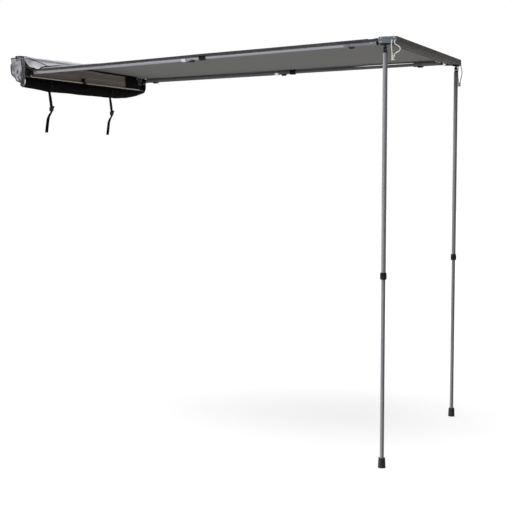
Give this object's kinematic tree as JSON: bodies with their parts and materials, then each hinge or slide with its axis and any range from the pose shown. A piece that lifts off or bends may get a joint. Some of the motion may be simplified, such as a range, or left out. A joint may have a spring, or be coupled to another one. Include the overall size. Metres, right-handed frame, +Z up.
{
  "type": "vehicle side awning",
  "caption": "Pull-out side awning for a vehicle: a grey canopy on folding telescopic arms, standing on telescopic legs, with its storage bag open along the board",
  "frame": {"origin": "centre of the backboard's rack face, the flat face that bears on the vehicle's roof rack", "axes": "+Z up; +Y out of the rack face, towards the vehicle, so the canopy reaches out to -Y; X along the backboard, near end at -X"},
  "size_m": [1.3482, 2.1136, 1.9913],
  "materials": {
    "board_aluminium": "anodised, dull bronze grey, finely grooved",
    "beam_aluminium": "anodised dark bronze, ribbed",
    "tube_aluminium": "satin, slightly blue grey",
    "plate_aluminium": "satin grey",
    "bright_ring": "bright, turned",
    "black_plastic": "moulded black, fine grain",
    "steel_pin": "plain zinc plated",
    "rubber_foot": "black, matt",
    "canopy_cloth": "coated woven cloth, grey, dark hems",
    "bag_cloth": "black coated cloth",
    "bag_lining": "crumpled silver grey coating",
    "webbing": "black woven webbing",
    "rope": "off-white braided cord"
  },
  "bodies": {
    "board": {"backboard": "board_aluminium", "near_board_cap": "black_plastic", "far_board_cap": "black_plastic", "near_arm_bracket": "black_plastic", "far_arm_bracket": "black_plastic", "near_arm_pin": "steel_pin", "far_arm_pin": "steel_pin", "arm_rest": "black_plastic", "bag_lower_flap": "bag_cloth", "bag_upper_flap": "bag_lining", "bag_near_end": "bag_lining", "bag_far_end": "bag_cloth", "near_strap": "webbing", "far_strap": "webbing", "near_buckle": "black_plastic", "far_buckle": "black_plastic", "canopy": "canopy_cloth"},
    "beam": {"front_beam": "beam_aluminium", "near_end_plate": "plate_aluminium", "far_end_plate": "plate_aluminium", "near_beam_corner": "black_plastic", "far_beam_corner": "black_plastic", "near_leg_bracket": "black_plastic", "far_leg_bracket": "black_plastic", "near_leg_pin": "steel_pin", "far_leg_pin": "steel_pin", "near_rope_inner": "rope", "near_rope_outer": "rope", "near_rope_knot": "rope", "far_rope_inner": "rope", "far_rope_outer": "rope", "far_rope_knot": "rope"},
    "near_arm": {"near_arm_knuckle": "black_plastic", "near_arm_outer_tube": "tube_aluminium", "near_arm_end_ring": "bright_ring"},
    "near_arm_mid": {"near_arm_mid_tube": "tube_aluminium"},
    "near_arm_lock": {"near_arm_collar": "black_plastic"},
    "near_arm_inner": {"near_arm_inner_tube": "tube_aluminium", "near_arm_tip_tube": "tube_aluminium", "near_arm_tip_hook": "black_plastic"},
    "near_arm_catch": {"near_arm_latch": "black_plastic"},
    "far_arm": {"far_arm_knuckle": "black_plastic", "far_arm_outer_tube": "tube_aluminium", "far_arm_end_ring": "bright_ring"},
    "far_arm_mid": {"far_arm_mid_tube": "tube_aluminium"},
    "far_arm_lock": {"far_arm_collar": "black_plastic"},
    "far_arm_inner": {"far_arm_inner_tube": "tube_aluminium", "far_arm_tip_tube": "tube_aluminium", "far_arm_tip_hook": "black_plastic"},
    "far_arm_catch": {"far_arm_latch": "black_plastic"},
    "near_leg": {"near_leg_knuckle": "black_plastic", "near_leg_upper_tube": "tube_aluminium"},
    "near_leg_lock": {"near_leg_collar": "black_plastic"},
    "near_leg_foot": {"near_leg_lower_tube": "tube_aluminium", "near_foot": "rubber_foot"},
    "far_leg": {"far_leg_knuckle": "black_plastic", "far_leg_upper_tube": "tube_aluminium"},
    "far_leg_lock": {"far_leg_collar": "black_plastic"},
    "far_leg_foot": {"far_leg_lower_tube": "tube_aluminium", "far_foot": "rubber_foot"}
  },
  "joints": [
    {"name": "beam_travel", "type": "slide", "parent": "board", "child": "beam", "axis": [0, 0.9995, -0.0327], "range_m": [0, 0.75], "deforming": ["canopy"]},
    {"name": "near_arm_swing", "type": "hinge", "parent": "board", "child": "near_arm", "pos_m": [-0.61, -0.058, -0.025], "axis": [0.016, 0.0401, 0.9991], "range_deg": [0, 90]},
    {"name": "near_arm_mid_slide", "type": "slide", "parent": "near_arm", "child": "near_arm_mid", "axis": [0, 0.9992, -0.0401], "range_m": [0, 0.0701]},
    {"name": "near_arm_inner_slide", "type": "slide", "parent": "near_arm_mid", "child": "near_arm_inner", "axis": [0, 0.9992, -0.0401], "range_m": [0, 0.6801]},
    {"name": "near_arm_lock_turn", "type": "hinge", "parent": "near_arm_mid", "child": "near_arm_lock", "pos_m": [-0.61, -1.04221, 0.01449], "axis": [0, -0.9992, 0.0401], "range_deg": [0, 90]},
    {"name": "near_arm_latch_pull", "type": "slide", "parent": "near_arm_inner", "child": "near_arm_catch", "axis": [-0.6957, 0.0288, 0.7177], "range_m": [0, 0.005], "stiffness_N_per_m": 300},
    {"name": "far_arm_swing", "type": "hinge", "parent": "board", "child": "far_arm", "pos_m": [0.61, -0.058, 0.009], "axis": [-0.022, -0.0252, -0.9994], "range_deg": [0, 90]},
    {"name": "far_arm_mid_slide", "type": "slide", "parent": "far_arm", "child": "far_arm_mid", "axis": [0, 0.9997, -0.0252], "range_m": [0, 0.0701]},
    {"name": "far_arm_inner_slide", "type": "slide", "parent": "far_arm_mid", "child": "far_arm_inner", "axis": [0, 0.9997, -0.0252], "range_m": [0, 0.6801]},
    {"name": "far_arm_lock_turn", "type": "hinge", "parent": "far_arm_mid", "child": "far_arm_lock", "pos_m": [0.61, -1.04269, 0.0338], "axis": [0, -0.9997, 0.0252], "range_deg": [0, 90]},
    {"name": "far_arm_latch_pull", "type": "slide", "parent": "far_arm_inner", "child": "far_arm_catch", "axis": [0.7225, 0.0174, 0.6912], "range_m": [0, 0.005], "stiffness_N_per_m": 300},
    {"name": "near_leg_swing", "type": "hinge", "parent": "beam", "child": "near_leg", "pos_m": [-0.61, -1.96, 0.023], "axis": [0, -1, 0], "range_deg": [0, 90]},
    {"name": "near_leg_extend", "type": "slide", "parent": "near_leg", "child": "near_leg_foot", "axis": [0, 0, 1], "range_m": [0, 0.8]},
    {"name": "near_leg_lock_turn", "type": "hinge", "parent": "near_leg", "child": "near_leg_lock", "pos_m": [-0.61, -1.96, -1.015], "axis": [0, 0, 1], "range_deg": [0, 90]},
    {"name": "far_leg_swing", "type": "hinge", "parent": "beam", "child": "far_leg", "pos_m": [0.61, -2.002, 0.023], "axis": [0, 1, 0], "range_deg": [0, 90], "deforming": ["near_rope_inner"]},
    {"name": "far_leg_extend", "type": "slide", "parent": "far_leg", "child": "far_leg_foot", "axis": [0, 0, 1], "range_m": [0, 0.8]},
    {"name": "far_leg_lock_turn", "type": "hinge", "parent": "far_leg", "child": "far_leg_lock", "pos_m": [0.61, -2.002, -1.015], "axis": [0, 0, 1], "range_deg": [0, 90]}
  ],
  "couplings": [
    {"joint": "near_arm_mid_slide", "follows": "beam_travel", "ratio": 0.09333},
    {"joint": "near_arm_inner_slide", "follows": "beam_travel", "ratio": 0.90667},
    {"joint": "far_arm_mid_slide", "follows": "beam_travel", "ratio": 0.09333},
    {"joint": "far_arm_inner_slide", "follows": "beam_travel", "ratio": 0.90667}
  ]
}
